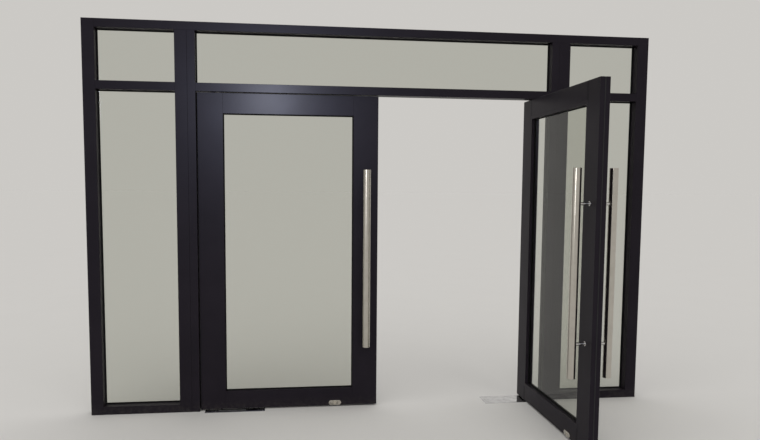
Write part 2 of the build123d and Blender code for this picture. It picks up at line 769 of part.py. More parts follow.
    with BuildPart() as lock_plug:
        plug_end = leaf_back + escutcheon_thickness + plug_proud
        plug_start = leaf.at(lock_place, -plug_end, lock_axis_height)
        drill(plug_start, leaf.backward, plug_radius, 2 * plug_end, Mode.ADD)
        for outward in (-1, 1):
            with BuildSketch(face_plane(leaf, outward * plug_end)) as keyway:
                with Locations((lock_place, lock_axis_height)):
                    Rectangle(keyway_width, keyway_height)
            extrude(keyway.sketch, amount=keyway_depth, dir=leaf.backward * -outward, mode=Mode.SUBTRACT)
    keep(lock_plug, f"{leaf_name}_lock_plug")

    with BuildPart() as floor_bolt:
        bolt_foot = leaf.at(bolt_place, 0, leaf_bottom + bolt_recess)
        with BuildSketch(section_plane(bolt_foot, leaf.along, leaf.backward)):
            Rectangle(bolt_side, bolt_side)
        extrude(amount=bolt_length, dir=Z_AXIS)
    keep(floor_bolt, f"{leaf_name}_floor_bolt")
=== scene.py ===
"""Glass entrance door: a dark aluminium screen with two framed glass leaves, dressed for rendering.

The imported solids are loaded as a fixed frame. Each class below dresses one sub-assembly: it gives the
solids their finishes, or builds finer pieces that stand for them. Lengths are in metres.
"""
from __future__ import annotations

import logging
import math
from dataclasses import dataclass
from enum import Enum
from functools import cached_property

import bmesh
import bpy
import numpy as np
from mathutils import Matrix

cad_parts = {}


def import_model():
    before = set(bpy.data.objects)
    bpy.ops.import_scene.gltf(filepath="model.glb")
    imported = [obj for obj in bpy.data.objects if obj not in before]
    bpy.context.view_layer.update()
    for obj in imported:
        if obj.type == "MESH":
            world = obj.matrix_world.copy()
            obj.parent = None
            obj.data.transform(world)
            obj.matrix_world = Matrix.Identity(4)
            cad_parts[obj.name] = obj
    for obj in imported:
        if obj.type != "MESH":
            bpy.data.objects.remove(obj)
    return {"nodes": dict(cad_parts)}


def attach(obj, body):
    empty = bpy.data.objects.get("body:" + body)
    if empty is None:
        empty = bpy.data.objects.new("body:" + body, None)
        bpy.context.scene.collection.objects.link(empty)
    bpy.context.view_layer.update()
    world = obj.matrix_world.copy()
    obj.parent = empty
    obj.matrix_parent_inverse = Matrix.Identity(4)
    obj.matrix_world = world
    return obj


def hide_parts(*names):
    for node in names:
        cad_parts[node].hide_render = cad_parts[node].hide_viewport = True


LOG = logging.getLogger("entrance_door")

Pair = tuple[float, float]
Triple = tuple[float, float, float]
Colour = tuple[float, float, float]
Distances = np.ndarray | float
# Axis of a profile, and the places of the joints at its two ends
Ends = tuple[int, float, float]

PHOTO_WIDTH = 760
PHOTO_HEIGHT = 440
QUARTER_TURN = math.pi / 2
FULL_TURN = 2 * math.pi
WHITE = (1.0, 1.0, 1.0)

# From the middle of the door to a pivot's axis, and to the face of a door jamb
PIVOT = 1.092
HALF_OPENING = 1.204
# Half a leaf's thickness, the height of its top, and a tuft's length along a brush
LEAF_FACE = 0.029
LEAF_TOP = 2.124
TUFT = 0.0016


# Shader maths as Python expressions
class Signal:
    """A number socket of a shader graph that takes part in Python expressions."""

    def __init__(self, graph: Graph, socket: bpy.types.NodeSocket) -> None:
        """Wraps the output socket that carries the number."""
        self.graph = graph
        self.socket = socket

    def math(self, operation: str, *others: Signal | float, swap: bool = False) -> Signal:
        """Adds one Math node.

        Args:
            operation: Name of the Math node's operation.
            others: The other operands, as signals or numbers.
            swap: True where this signal is the second operand.

        Returns:
            The result as a new signal.
        """
        operands = [self, *others]
        if swap:
            operands[0], operands[1] = operands[1], operands[0]
        made = self.graph.node("ShaderNodeMath", {"operation": operation}, dict(enumerate(operands)))
        return Signal(self.graph, made.outputs[0])

    def __add__(self, other: Signal | float) -> Signal:
        """Sum."""
        return self.math("ADD", other)

    def __sub__(self, other: Signal | float) -> Signal:
        """Difference."""
        return self.math("SUBTRACT", other)

    def __rsub__(self, other: float) -> Signal:
        """Difference from a number."""
        return self.math("SUBTRACT", other, swap=True)

    def __mul__(self, other: Signal | float) -> Signal:
        """Product."""
        return self.math("MULTIPLY", other)

    __radd__ = __add__
    __rmul__ = __mul__

    def least(self, other: Signal | float) -> Signal:
        """Smaller of the two."""
        return self.math("MINIMUM", other)

    def most(self, other: Signal | float) -> Signal:
        """Larger of the two."""
        return self.math("MAXIMUM", other)

    def ramp(self, start: float, end: float) -> Signal:
        """Rises smoothly from 0 to 1.

        Args:
            start: Value at which the ramp is 0.
            end: Value at which the ramp is 1. It may be below start.

        Returns:
            The eased and clamped ramp.
        """
        settings = {"interpolation_type": "SMOOTHSTEP"}
        inputs = {"Value": self, "From Min": start, "From Max": end, "To Min": 0.0, "To Max": 1.0}
        return Signal(self.graph, self.graph.node("ShaderNodeMapRange", settings, inputs).outputs[0])


@dataclass(frozen=True)
class Pattern:
    """Fractal noise over an object.

    The scale is in waves per metre, the same all ways or by axis. Detail counts the octaves of finer
    noise, and roughness is their strength. A band is eased to 0 at its start and to 1 at its end.
    """

    scale: Triple | float
    detail: float = 2.0
    roughness: float = 0.5
    band: Pair | None = None


class Graph:
    """The node graph of a material or of the world."""

    def __init__(self, owner: bpy.types.Material | bpy.types.World) -> None:
        """Starts with an empty graph.

        Args:
            owner: The material or world that the graph belongs to.
        """
        self.owner = owner
        owner.use_nodes = True
        self.tree = owner.node_tree
        self.tree.nodes.clear()

    def node(self, kind: str, settings: dict | None = None, inputs: dict | None = None) -> bpy.types.Node:
        """Makes any node.

        Args:
            kind: Type name of the node.
            settings: Properties, set before the sockets.
            inputs: Socket names or numbers, with their values or links.

        Returns:
            The new node.
        """
        made = self.tree.nodes.new(kind)
        for name, value in (settings or {}).items():
            setattr(made, name, value)
        for name, value in (inputs or {}).items():
            source = value.socket if isinstance(value, Signal) else value
            if isinstance(source, bpy.types.NodeSocket):
                self.tree.links.new(source, made.inputs[name])
            else:
                made.inputs[name].default_value = source
        return made

    @cached_property
    def place(self) -> bpy.types.NodeSocket:
        """The place on the object as a vector."""
        return self.node("ShaderNodeTexCoord").outputs["Object"]

    def axes(self) -> tuple[Signal, Signal, Signal]:
        """The place on the object as three numbers."""
        parts = self.node("ShaderNodeSeparateXYZ", {}, {0: self.place})
        return tuple(Signal(self, socket) for socket in parts.outputs)

    def noise(self, pattern: Pattern) -> Signal:
        """Lays a noise pattern over the object.

        Args:
            pattern: The pattern.

        Returns:
            Noise between 0 and 1, mostly near a half where the pattern has no band.
        """
        vector, scale = self.place, pattern.scale
        if not isinstance(scale, float):
            stretch = self.node("ShaderNodeVectorMath", {"operation": "MULTIPLY"}, {0: vector, 1: scale})
            vector, scale = stretch.outputs[0], 1.0
        inputs = {"Vector": vector, "Scale": scale, "Detail": pattern.detail, "Roughness": pattern.roughness}
        noise = Signal(self, self.node("ShaderNodeTexNoise", {}, inputs).outputs[0])
        return noise.ramp(*pattern.band) if pattern.band else noise

    def blend(
        self, factor: Signal, first: Colour | bpy.types.NodeSocket, second: Colour | bpy.types.NodeSocket
    ) -> bpy.types.NodeSocket:
        """Mixes two colours.

        Args:
            factor: Share of the second colour.
            first: Colour or colour socket at factor 0.
            second: Colour or colour socket at factor 1.

        Returns:
            The mixed colour's socket.
        """
        pair = [(*value, 1.0) if isinstance(value, tuple) else value for value in (first, second)]
        made = self.node("ShaderNodeMix", {"data_type": "RGBA"}, {0: factor, 6: pair[0], 7: pair[1]})
        return made.outputs[2]

    def shades(self, factor: Signal, colour: Colour, pair: Pair) -> bpy.types.NodeSocket:
        """Runs from one shade of a colour to another, both given as multiples of the colour."""
        return self.blend(factor, *(tinted(colour, shade) for shade in pair))

    def relief(self, height: Signal, depth: float, strength: float = 1.0) -> bpy.types.NodeSocket:
        """The normal bumped by a height of 0 to 1 that spans so many metres."""
        inputs = {"Strength": strength, "Distance": depth, "Height": height}
        return self.node("ShaderNodeBump", {}, inputs).outputs[0]

    def shade(self, **inputs: object) -> bpy.types.Material:
        """Ends the graph in a Principled shader.

        Args:
            inputs: The shader's inputs, with underscores for spaces.

        Returns:
            The finished material.
        """
        named = {name.replace("_", " "): value for name, value in inputs.items()}
        colour = named["Base Color"]
        if isinstance(colour, tuple):
            named["Base Color"] = (*colour, 1.0)
        shader = self.node("ShaderNodeBsdfPrincipled", {}, named)
        self.node("ShaderNodeOutputMaterial", {}, {"Surface": shader.outputs[0]})
        return self.owner


def tinted(colour: Colour, factor: float) -> Colour:
    """The colour made lighter or darker by a factor."""
    return tuple(part * factor for part in colour)


# Finishes
@dataclass(frozen=True)
class PowderCoat:
    """Satin powder coat: fine orange peel, faint mottling, dust near the floor and rubbed patches.

    A joint shows as a fine line, which is gone at the first distance of its band and full at the
    second.
    """

    colour: Colour = (0.0146, 0.0117, 0.0154)
    mottle: Pattern = Pattern(3.1, 3.0, 0.6, (0.3, 0.7))
    mottle_shades: Pair = (0.92, 1.10)
    flecks: Pattern = Pattern(2400.0, 0.0, band=(0.62, 0.78))
    fleck_share: float = 0.18
    fleck_shade: float = 2.2
    dust: Colour = (0.060, 0.054, 0.047)
    dust_height: float = 0.09
    dust_patches: Pattern = Pattern(38.0, 4.0, 0.7, (0.38, 0.72))
    dust_share: float = 0.4
    dust_roughness: float = 0.3
    least_roughness: float = 0.335
    rubbing: Pattern = Pattern(5.0, 4.0, 0.65, (0.3, 0.7))
    rubbing_roughness: float = 0.04
    peel: Pattern = Pattern(420.0, 1.5)
    peel_roughness: float = 0.03
    peel_depth: float = 0.000016
    gloss: float = 0.042
    sheen: Colour = (0.70, 0.76, 1.0)
    skin: float = 0.056
    skin_roughness: float = 0.24
    joint: Colour = (0.0022, 0.0022, 0.0025)
    joint_band: Pair = (0.0007, 0.00021)
    joint_share: float = 0.26
    joint_roughness: float = 0.4

    def material(self, name: str, ends: Ends | None = None) -> bpy.types.Material:
        """Makes the material of one profile.

        Args:
            name: Name of the material.
            ends: Axis of the profile and the places of the two joints at its ends, or None.

        Returns:
            The material.
        """
        graph = Graph(bpy.data.materials.new(name))
        axes = graph.axes()
        peel = graph.noise(self.peel)
        flecks = graph.noise(self.flecks) * self.fleck_share
        dusty = axes[2].ramp(self.dust_height, 0.0) * graph.noise(self.dust_patches) * self.dust_share
        colour = graph.shades(graph.noise(self.mottle), self.colour, self.mottle_shades)
        colour = graph.blend(flecks, colour, tinted(self.colour, self.fleck_shade))
        colour = graph.blend(dusty, colour, self.dust)
        roughness = graph.noise(self.rubbing) * self.rubbing_roughness + peel * self.peel_roughness
        roughness = roughness + self.least_roughness + dusty * self.dust_roughness
        if ends:
            axis, start, stop = ends
            place = axes[axis]
            seam = (place - start).least(stop - place).ramp(*self.joint_band) * self.joint_share
            colour = graph.blend(seam, colour, self.joint)
            roughness = roughness + seam * self.joint_roughness
        return graph.shade(
            Base_Color=colour,
            Roughness=roughness,
            Specular_IOR_Level=self.gloss,
            Specular_Tint=(*self.sheen, 1.0),
            Coat_Weight=self.skin,
            Coat_Roughness=self.skin_roughness,
            Normal=graph.relief(peel, self.peel_depth),
        )


@dataclass(frozen=True)
class ClearGlass:
    """Thick float glass with an olive-grey cast and the haze of wiping."""

    colour: Colour = (0.715, 0.725, 0.675)
    refraction: float = 1.20
    wiping: Pattern = Pattern((5.0, 5.0, 1.6), 5.0, 0.6, (0.45, 0.75))
    haze: float = 0.010

    def material(self, name: str) -> bpy.types.Material:
        """Makes the material.

        Args:
            name: Name of the material.

        Returns:
            The material.
        """
        graph = Graph(bpy.data.materials.new(name))
        return graph.shade(
            Base_Color=self.colour,
            Roughness=graph.noise(self.wiping) * self.haze,
            IOR=self.refraction,
            Transmission_Weight=1.0,
        )


@dataclass(frozen=True)
class Grained:
    """What the plain finishes share: a grain, patches and marks of use, and spots where they have them.

    The colour runs between two shades of itself, by the shares of the grain and the patches. Grain,
    patches and marks each add their part to the least roughness, and the grain also gives the relief.
    """

    colour: Colour
    least_roughness: float
    grain: Pattern
    shades: Pair
    shares: Pair = (1.0, 0.0)
    roughening: Triple = (0.1, 0.0, 0.0)
    patches: Pattern = Pattern(17.0, 4.0, 0.6, (0.36, 0.66))
    marks: Pattern = Pattern((60.0, 60.0, 9.0), 5.0, 0.7, (0.55, 0.75))
    spots: Pattern | None = None
    spot_share: float = 0.35
    spot_colour: Colour = (0.16, 0.075, 0.035)
    depth: float = 0.000012
    strength: float = 1.0
    metallic: float = 0.0
    gloss: float = 0.5
    sheen: float = 0.0

    def material(self, name: str) -> bpy.types.Material:
        """Makes the material.

        Args:
            name: Name of the material.

        Returns:
            The material.
        """
        graph = Graph(bpy.data.materials.new(name))
        grain, patches, marks = map(graph.noise, (self.grain, self.patches, self.marks))
        shade = grain * self.shares[0] + patches * self.shares[1]
        colour = graph.shades(shade, self.colour, self.shades)
        if self.spots:
            colour = graph.blend(graph.noise(self.spots) * self.spot_share, colour, self.spot_colour)
        grained, patched, marked = self.roughening
        return graph.shade(
            Base_Color=colour,
            Roughness=grain * grained + patches * patched + marks * marked + self.least_roughness,
            Metallic=self.metallic,
            Specular_IOR_Level=self.gloss,
            Sheen_Weight=self.sheen,
            Normal=graph.relief(grain, self.depth, self.strength),
        )


def worked(*scale: float) -> Pattern:
    """The lines of a metal's last working, in waves per metre by axis."""
    return Pattern(scale, 3.0, 0.6)


@dataclass(frozen=True)
class Metal(Grained):
    """Bare or plated metal with the lines of its last working across it, and stains."""

    grain: Pattern = worked(14.0, 14.0, 2600.0)
    shades: Pair = (1.06, 0.35)
    shares: Pair = (0.10, 0.10)
    roughening: Triple = (0.14, 0.08, 0.06)
    metallic: float = 1.0


@dataclass(frozen=True)
class Cast(Grained):
    """Painted iron casting with a grained skin and spots of rust."""

    colour: Colour = (0.030, 0.031, 0.033)
    least_roughness: float = 0.52
    grain: Pattern = Pattern(420.0, 4.0, 0.7)
    shades: Pair = (0.8, 1.5)
    roughening: Triple = (0.2, 0.0, 0.0)
    spots: Pattern = Pattern(26.0, 5.0, 0.7, (0.60, 0.78))
    depth: float = 0.00035
    strength: float = 0.8


@dataclass(frozen=True)
class Rubber(Grained):
    """Black glazing rubber, slightly bloomed."""

    colour: Colour = (0.0042, 0.0042, 0.0046)
    least_roughness: float = 0.61
    grain: Pattern = Pattern(900.0)
    shades: Pair = (1.0, 2.4)
    shares: Pair = (0.0, 0.5)
    roughening: Triple = (0.1, 0.16, 0.0)
    patches: Pattern = Pattern(11.0, 4.0, 0.65, (0.4, 0.8))
    depth: float = 0.00003
    gloss: float = 0.2


@dataclass(frozen=True)
class Pile(Grained):
    """Dense black brush pile: fine bristles that stand side by side, in lighter and darker shades by a fine
    noise.
    """

    colour: Colour = (0.012, 0.012, 0.0125)
    least_roughness: float = 0.86
    grain: Pattern = Pattern(1900.0, 1.0)
    shades: Pair = (0.45, 2.4)
    shares: Pair = (0.0, 1.0)
    patches: Pattern = Pattern(1900.0, 1.0, band=(0.35, 0.7))
    depth: float = 0.0003
    sheen: float = 0.06


@dataclass(frozen=True)
class StudioFloor(Grained):
    """Plain pale floor with a barely seen mottle and no relief."""

    colour: Colour = (0.667, 0.650, 0.622)
    least_roughness: float = 0.8
    grain: Pattern = Pattern(1.7, 5.0, 0.6)
    shades: Pair = (0.985, 1.015)
    roughening: Triple = (0.05, 0.0, 0.0)
    depth: float = 0.0
    gloss: float = 0.0


class Finish(Enum):
    """The finishes that are the same on every piece that has them."""

    GLASS = ClearGlass()
    BEAD_RUBBER = Rubber()
    PILE = Pile()
    CASTING = Cast()
    TUBE_STEEL = Metal((0.54, 0.51, 0.46), 0.09)
    POST_STEEL = Metal((0.63, 0.62, 0.60), 0.10, worked(700.0, 700.0, 700.0), shares=(0.06, 0.10))
    PLATE_STEEL = Metal((0.70, 0.70, 0.71), 0.05, worked(12.0, 1800.0, 40.0), shares=(0.14, 0.34))
    SATIN_CHROME = Metal(
        (0.68, 0.64, 0.575), 0.13, worked(30.0, 30.0, 2200.0), shares=(0.06, 0.8),
        patches=Pattern(42.0, 4.0, 0.6, (0.36, 0.66)),
    )
    CYLINDER_NICKEL = Metal((0.82, 0.76, 0.66), 0.12, worked(500.0, 20.0, 500.0), shares=(0.12, 0.10))
    PLAIN_STEEL = Metal((0.15, 0.15, 0.155), 0.24, worked(260.0, 260.0, 1500.0), shares=(0.10, 0.25))
    MILL_ALUMINIUM = Metal((0.70, 0.71, 0.72), 0.30, worked(700.0, 20.0, 700.0), shares=(0.10, 0.12))
    SCREW_STEEL = Metal((0.36, 0.36, 0.37), 0.22, worked(900.0, 900.0, 900.0), shares=(0.10, 0.3))

    def material(self) -> bpy.types.Material:
        """The material of this finish, made once."""
        name = f"{self.name.lower()}_finish"
        return bpy.data.materials.get(name) or self.value.material(name)


def finish(node: bpy.types.Object, material: bpy.types.Material) -> None:
    """Puts a material into every slot of a solid."""
    for slot in node.material_slots:
        slot.material = material


def glaze(pane: bpy.types.Object) -> None:
    """Makes a pane clear glass, which lets the lamps' light through."""
    finish(pane, Finish.GLASS.material())
    pane.visible_shadow = False


# Surfaces as whole arrays
def linked(name: str, data: bpy.types.ID) -> bpy.types.Object:
    """Puts a new object into the scene, at the origin.

    Args:
        name: Name of the object.
        data: Its mesh, lamp or camera.

    Returns:
        The object.
    """
    made = bpy.data.objects.new(name, data)
    bpy.context.scene.collection.objects.link(made)
    return made


class Shell:
    """Collects surfaces, given as grids of points, into one closed mesh."""

    merge_distance = 1e-6

    def __init__(self) -> None:
        """Starts with no surface."""
        self.points: list[np.ndarray] = []
        self.faces: list[list[int]] = []
        self.count = 0

    def add(self, rings: np.ndarray, looped: bool = False) -> None:
        """Adds the skin over rings of points, each ring closed on itself.

        Face (i, j) joins points j and j + 1 of ring i to those of ring i + 1. Where the rings don't
        run round to the first again, the first and last ring are closed by a flat face.

        Args:
            rings: Points as an array of rings by points by 3.
            looped: True where the last ring joins the first.
        """
        number, around = rings.shape[:2]
        index = self.count + np.arange(number * around).reshape(number, around)
        first = index if looped else index[:-1]
        after = np.roll(index, -1, axis=0) if looped else index[1:]
        quads = np.stack([first, np.roll(first, -1, 1), np.roll(after, -1, 1), after], axis=-1)
        self.faces += quads.reshape(-1, 4).tolist()
        if not looped:
            self.faces += [index[0][::-1].tolist(), index[-1].tolist()]
        self.points.append(rings.reshape(-1, 3))
        self.count += number * around

    def piece(self, name: str, material: bpy.types.Material, sharp: float = 32.0) -> bpy.types.Object:
        """Turns the surfaces into an object at the origin.

        Args:
            name: Name of the piece.
            material: Its material.
            sharp: Angle in degrees above which an edge stays sharp.

        Returns:
            The linked object, with doubles merged and its faces outwards.
        """
        mesh = bpy.data.meshes.new(name)
        mesh.from_pydata(np.concatenate(self.points).tolist(), [], self.faces)
        work = bmesh.new()
        work.from_mesh(mesh)
        bmesh.ops.remove_doubles(work, verts=work.verts, dist=self.merge_distance)
        bmesh.ops.recalc_face_normals(work, faces=work.faces)
        work.to_mesh(mesh)
        work.free()
        mesh.shade_smooth()
        mesh.set_sharp_from_angle(angle=math.radians(sharp))
        mesh.materials.append(material)
        return linked(name, mesh)


@dataclass(frozen=True)
class Panel:
    """An upright plane of the door: where it starts, which way it runs and where its back is."""

    origin: Triple = (0.0, 0.0, 0.0)
    along: Triple = (1.0, 0.0, 0.0)
    backward: Triple = (0.0, 1.0, 0.0)

    def place(self, along: Distances, depth: Distances, height: Distances) -> np.ndarray:
        """Points of the room: origin + along axis * along + backward axis * depth + up * height.

        Args:
            along: Distance along the panel.
            depth: Distance to its back.
            height: Height above the floor.

        Returns:
            Points as an array whose last axis is x, y, z.
        """
        along, depth, height = np.broadcast_arrays(along, depth, height)
        axes = np.array([self.along, self.backward, (0.0, 0.0, 1.0)])
        return np.array(self.origin) + np.stack([along, depth, height], axis=-1) @ axes


def recessed(profile: tuple[Triple, ...] | np.ndarray, recess: np.ndarray) -> tuple[np.ndarray, ...]:
    """A profile turned about its axis, with rings that may follow a recess that isn't round.

    Point j of ring k is at angle 2 pi j / points, radius r_k + s_k * recess_j and height h_k.

    Args:
        profile: Rows of radius r, share s of the recess, and height h.
        recess: Radius of the recess at each point of a ring.

    Returns:
        Two cross-axis distances and the height, each an array of rings by points.
    """
    round_part, share, height = (column[:, None] for column in np.array(profile).T)
    angle = np.arange(len(recess)) * FULL_TURN / len(recess)
    radius = round_part + share * recess
    return radius * np.cos(angle), radius * np.sin(angle), height + np.zeros_like(recess)


def turned(profile: np.ndarray, points: int) -> tuple[np.ndarray, ...]:
    """Rows of radius and height turned about the axis, as recessed() turns them, with no recess."""
    return recessed(np.insert(profile, 1, 0.0, axis=1), np.zeros(points))


def rounded_rim(radius: float, height: float, round_off: float, steps: int = 5) -> np.ndarray:
    """Quarter circle that rounds a rim from the wall to the top face.

    Point k: radius - round_off * (1 - cos a_k), height - round_off * (1 - sin a_k), a from 0 to 90 degrees.

    Args:
        radius: Radius of the wall.
        height: Height of the top face.
        round_off: Radius of the rounding.
        steps: Points on the quarter.

    Returns:
        Rows of radius and height.
    """
    angle = np.linspace(0, QUARTER_TURN, steps)
    inset, drop = round_off * (1 - np.cos(angle)), round_off * (1 - np.sin(angle))
    return np.stack([radius - inset, height - drop], axis=-1)


def levelled(loops: list[tuple[np.ndarray, float]]) -> tuple[np.ndarray, ...]:
    """Flat loops one over the other.

    Args:
        loops: Each loop's points, as rows of two distances, with its height.

    Returns:
        The two distances and the height, each an array of rings by points.
    """
    flat = np.stack([line for line, _ in loops])
    height = np.repeat([[level] for _, level in loops], flat.shape[1], axis=1)
    return flat[..., 0], flat[..., 1], height


def carried_round(panel: Panel, opening: Opening, profile: np.ndarray) -> np.ndarray:
    """A profile carried round the sight edges of an opening, mitred at its four corners.

    Corner c of ring k is the opening's corner moved towards the middle by the profile's inset, at the
    profile's depth.

    Args:
        panel: The panel that holds the opening.
        opening: Sight edges.
        profile: Rows of inset from the sight edge and depth.

    Returns:
        Rings by points by 3, one ring per corner.
    """
    inward = np.array([(1, 1), (-1, 1), (-1, -1), (1, -1)])
    corners = np.where(inward > 0, (opening.near, opening.low), (opening.far, opening.high))
    flat = corners[:, None, :] + inward[:, None, :] * profile[None, :, :1]
    return panel.place(flat[..., 0], profile[None, :, 1], flat[..., 1])


@dataclass(frozen=True)
class Opening:
    """The sight edges of one pane, and the depths between which its glass is held."""

    near: float
    far: float
    low: float
    high: float
    nose_back: float
    bead_front: float


# Sub-assemblies
@dataclass
class Glazing:
    """Gaskets with rounded lips in front of and behind each pane of one body."""

    panel: Panel
    openings: list[Opening]
    body: str
    node: str
    lip: float = 0.006
    lip_start: float = 0.12
    lip_fall: float = 0.28
    lip_points: int = 6
    shoulder: float = 0.8
    cover: float = 0.009
    thickness: float = 0.004

    def lip_profile(self, start: float, glass: float) -> np.ndarray:
        """Section of a gasket from the metal to the glass.

        After a small shoulder at the metal, the tip is a rounded lip: inset = lip * (1 - lip_fall * t ** 2),
        where t is 0 at the metal and 1 at the glass.

        Args:
            start: Depth of the metal face.
            glass: Depth of the glass face.

        Returns:
            Rows of inset and depth, closed on itself.
        """
        t = np.linspace(self.lip_start, 1, self.lip_points)
        tip = np.stack([self.lip * (1 - self.lip_fall * t**2), start + (glass - start) * t], axis=-1)
        shoulder = np.array([(-self.cover, start), (self.lip * self.shoulder, start)])
        return np.concatenate([shoulder, tip, [(-self.cover, glass)]])

    def build(self) -> bpy.types.Object:
        """Builds the gaskets of all openings as one piece.

        Returns:
            The piece, which stands for the plain gasket solids.
        """
        shell = Shell()
        for opening in self.openings:
            for metal, side in ((opening.nose_back, 1), (opening.bead_front, -1)):
                profile = self.lip_profile(metal, metal + side * self.thickness)
                shell.add(carried_round(self.panel, opening, profile), looped=True)
        made = shell.piece(f"{self.body}_gaskets", Finish.BEAD_RUBBER.material())
        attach(made, self.body)
        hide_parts(self.node)
        return made


@dataclass
class Screen:
    """The fixed frame: its profiles, beads, glass, cleats and the fittings that are fixed in it."""

    paint: PowderCoat = PowderCoat()
    mullion_inner: float = 1.256
    mullion_outer: float = 1.334
    jamb_sight: float = 1.827
    sill_top: float = 0.054
    header_underside: float = 2.130
    header_top: float = 2.184
    head_underside: float = 2.516
    nose_back: float = 0.017
    bead_front: float = 0.033

    def openings(self) -> list[Opening]:
        """The five fixed panes."""
        rows = [(-HALF_OPENING, HALF_OPENING, self.header_top, self.head_underside)]
        for low, high in ((self.sill_top, self.header_underside), (self.header_top, self.head_underside)):
            rows.append((-self.jamb_sight, -self.mullion_outer, low, high))
            rows.append((self.mullion_outer, self.jamb_sight, low, high))
        return [Opening(*row, self.nose_back, self.bead_front) for row in rows]

    def joints(self) -> dict[str, Ends]:
        """Axis and joint places of each profile that butts against another."""
        glass = (self.mullion_outer, self.jamb_sight)
        mullion, door_jamb = (self.mullion_inner, self.jamb_sight), (0.0, self.mullion_inner)
        half = {"mullion": mullion, "door_jamb": door_jamb, "transom": glass, "sill": glass}
        joints = {"head": (0, -self.jamb_sight, self.jamb_sight), "header": (0, -HALF_OPENING, HALF_OPENING)}
        for part, (near, far) in half.items():
            joints |= {f"left_{part}": (0, -far, -near), f"right_{part}": (0, near, far)}
        return joints

    def dress(self, nodes: dict[str, bpy.types.Object]) -> list[bpy.types.Object]:
        """Gives the frame's solids their finishes.

        Args:
            nodes: The solids by name.

        Returns:
            The painted solids.
        """
        joints = self.joints()
        names = ["left_jamb", "right_jamb", *joints, "jamb_inserts", "frame_beads"]
        for name in names:
            finish(nodes[name], self.paint.material(f"{name}_paint", joints.get(name)))
        for pane in ("left_side", "right_side", "left_top", "right_top", "centre_top"):
            glaze(nodes[f"{pane}_glass"])
        finish(nodes["frame_cleats"], Finish.MILL_ALUMINIUM.material())
        finish(nodes["top_pivots"], Finish.PLAIN_STEEL.material())
        for side in ("left", "right"):
            finish(nodes[f"{side}_floor_spring"], Finish.CASTING.material())
        return [nodes[name] for name in names]


